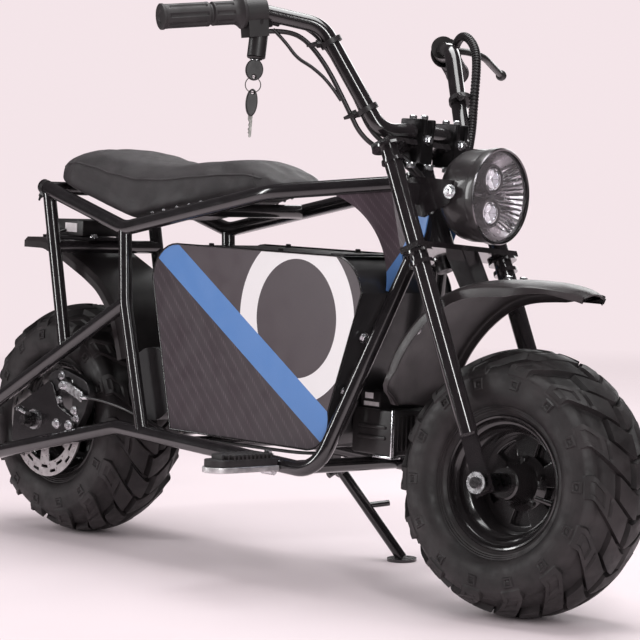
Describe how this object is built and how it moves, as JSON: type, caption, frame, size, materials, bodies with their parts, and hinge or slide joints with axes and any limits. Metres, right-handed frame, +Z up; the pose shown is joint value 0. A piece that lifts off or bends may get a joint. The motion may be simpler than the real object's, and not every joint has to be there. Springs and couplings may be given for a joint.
{
  "type": "minibike",
  "caption": "Small off-road electric minibike with fat knobbly tyres, tube frame, battery box and bench seat, leaning on its side stand.",
  "frame": {"origin": "on the floor in the middle of the box round the parked machine", "axes": "+X forward along the machine, +Y to the rider's left, +Z up"},
  "size_m": [1.2938, 0.6635, 0.8189],
  "materials": {
    "cast_alloy": "cast",
    "chain_steel": "oiled",
    "dark_alloy": "black anodised",
    "dark_plastic": "moulded",
    "disc_steel": "ground",
    "fender_plastic": "semi-gloss moulded",
    "fork_paint": "gloss black paint",
    "frame_paint": "gloss black powder coat",
    "gloss_black": "gloss",
    "lens_glass": "clear",
    "lever_paint": "satin black paint",
    "motor_paint": "satin black paint",
    "panel_print": "dark weave print with a blue stripe",
    "rim_paint": "gloss black paint",
    "rubber": "moulded",
    "seat_vinyl": "matt black vinyl",
    "tail_lens": "red lens in a black body",
    "tyre_rubber": "tread",
    "zinc_steel": "zinc plated"
  },
  "bodies": {
    "frame": {"head_tube": "frame_paint", "seat_rails": "frame_paint", "down_tubes": "frame_paint", "lower_rails": "frame_paint", "middle_posts": "frame_paint", "rear_posts": "frame_paint", "cross_tubes": "frame_paint", "dropout_plates": "frame_paint", "side_panels": "panel_print", "seat": "seat_vinyl", "battery_box": "panel_print", "controller_box": "dark_plastic", "motor": "motor_paint", "drive_chain": "chain_steel", "motor_sprocket": "chain_steel", "rear_fender": "fender_plastic", "tail_bracket": "frame_paint", "tail_light": "tail_lens", "rear_axle": "zinc_steel", "brake_caliper": "dark_alloy", "footpeg_bases": "cast_alloy", "footpeg_pads": "rubber", "stand_bracket": "frame_paint"},
    "steering": {"steering_stem": "zinc_steel", "fork_legs": "fork_paint", "front_axle": "zinc_steel", "upper_clamp": "fork_paint", "lower_clamp": "fork_paint", "front_fender": "fender_plastic", "fender_struts": "fork_paint", "headlight_shell": "gloss_black", "headlight_lens": "lens_glass", "headlight_bracket": "fork_paint", "handlebar": "fork_paint", "grips": "rubber", "throttle_housing": "dark_plastic", "brake_lever": "lever_paint", "bar_clamps": "dark_alloy"},
    "front_wheel": {"front_tyre": "tyre_rubber", "front_rim": "rim_paint"},
    "rear_wheel": {"rear_tyre": "tyre_rubber", "rear_rim": "rim_paint", "rear_brake_disc": "disc_steel", "rear_sprocket": "chain_steel"},
    "side_stand": {"side_stand": "frame_paint"}
  },
  "joints": [
    {"name": "steering", "type": "hinge", "parent": "frame", "child": "steering", "pos_m": [0.28522, 0.00124, 0.50342], "axis": [-0.4226, 0.0474, 0.9051], "range_deg": [-45, 27]},
    {"name": "front_wheel_spin", "type": "hinge", "parent": "steering", "child": "front_wheel", "pos_m": [0.47022, -0.01117, 0.17696], "axis": [-0.1418, 0.9829, -0.1177], "continuous": true},
    {"name": "rear_wheel_spin", "type": "hinge", "parent": "frame", "child": "rear_wheel", "pos_m": [-0.46944, -0.01584, 0.17739], "axis": [0, 0.9986, -0.0523], "continuous": true},
    {"name": "side_stand_swing", "type": "hinge", "parent": "frame", "child": "side_stand", "pos_m": [-0.01744, 0.10403, 0.13354], "axis": [0.0903, 0.9063, 0.4128], "range_deg": [0, 122]}
  ]
}
